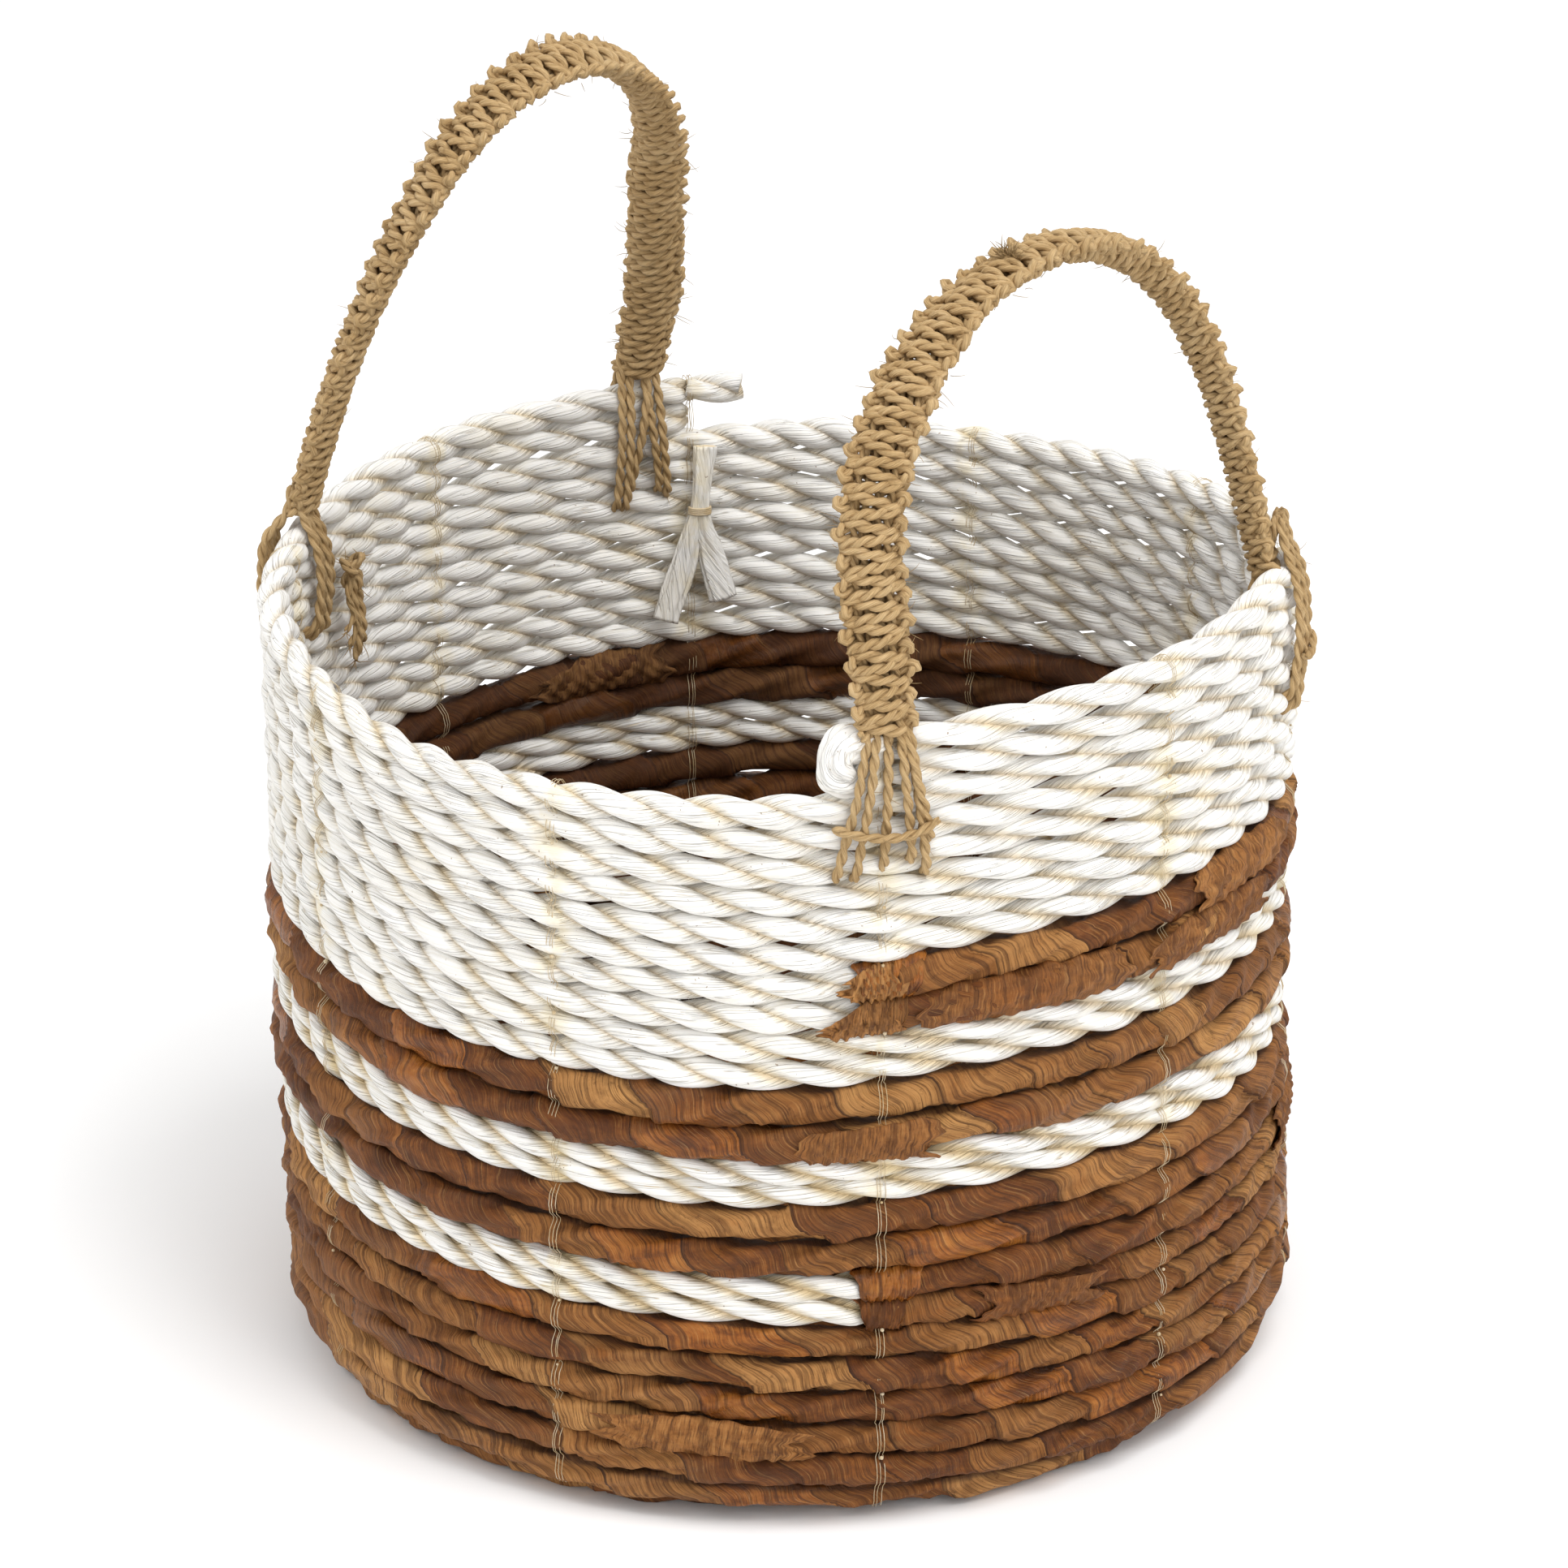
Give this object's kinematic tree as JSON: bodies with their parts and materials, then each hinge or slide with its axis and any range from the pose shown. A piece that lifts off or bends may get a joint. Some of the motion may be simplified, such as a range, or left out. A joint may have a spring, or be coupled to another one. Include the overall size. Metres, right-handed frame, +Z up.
{
  "type": "woven basket",
  "caption": "Round coiled rope basket with a wall of twisted white rope and bark-wrapped bands, and two knotted arched handles that tip.",
  "frame": {"origin": "middle of the underside, on the surface that the basket stands on", "axes": "+Z up along the basket's axis; +X towards the right handle and -X towards the left handle; -Y is the front"},
  "size_m": [0.3582, 0.3559, 0.4524],
  "materials": {
    "white_rope": "bleached twisted two-ply rope, smooth papery plies with fine creases, dull satin",
    "bark_rope": "rope wrapped in strips of dried bark leaf, mottled brown, fine fibres, dull with glossy spots",
    "raffia_thread": "thin cream raffia thread, satin",
    "seagrass_cord": "golden khaki twisted seagrass cord, matt, fibrous"
  },
  "bodies": {
    "root": {"bark_rope_a1": "bark_rope", "bark_rope_a2": "bark_rope", "bark_rope_b1": "bark_rope", "bark_rope_b2": "bark_rope", "base_rope_a1": "bark_rope", "base_rope_a2": "bark_rope", "base_rope_b1": "bark_rope", "base_rope_b2": "bark_rope", "hanging_end_1": "white_rope", "hanging_end_2": "white_rope", "hanging_end_binding": "raffia_thread", "knot_left_front": "seagrass_cord", "leaf_splice_a": "bark_rope", "leaf_splice_b": "bark_rope", "leg_cords_left_back": "seagrass_cord", "leg_cords_left_front": "seagrass_cord", "leg_cords_right_back": "seagrass_cord", "leg_cords_right_front": "seagrass_cord", "rim_end_a": "white_rope", "rim_end_b": "white_rope", "stitch_column_01": "raffia_thread", "stitch_column_02": "raffia_thread", "stitch_column_03": "raffia_thread", "stitch_column_04": "raffia_thread", "stitch_column_05": "raffia_thread", "stitch_column_06": "raffia_thread", "stitch_column_07": "raffia_thread", "stitch_column_08": "raffia_thread", "stitch_column_09": "raffia_thread", "stitch_column_10": "raffia_thread", "tie_right_back": "seagrass_cord", "tie_right_front": "seagrass_cord", "white_rope_a1": "white_rope", "white_rope_a2": "white_rope", "white_rope_b1": "white_rope", "white_rope_b2": "white_rope"},
    "right_handle": {"right_strap": "seagrass_cord", "right_core": "seagrass_cord"},
    "left_handle": {"left_strap": "seagrass_cord", "left_core": "seagrass_cord"}
  },
  "joints": [
    {"name": "right_handle_tip", "type": "hinge", "parent": "root", "child": "right_handle", "pos_m": [0.14323, 0, 0.30435], "axis": [0, 1, 0], "range_deg": [-34, 56]},
    {"name": "left_handle_tip", "type": "hinge", "parent": "root", "child": "left_handle", "pos_m": [-0.14945, 0, 0.30435], "axis": [0, -1, 0], "range_deg": [-25, 65]}
  ]
}
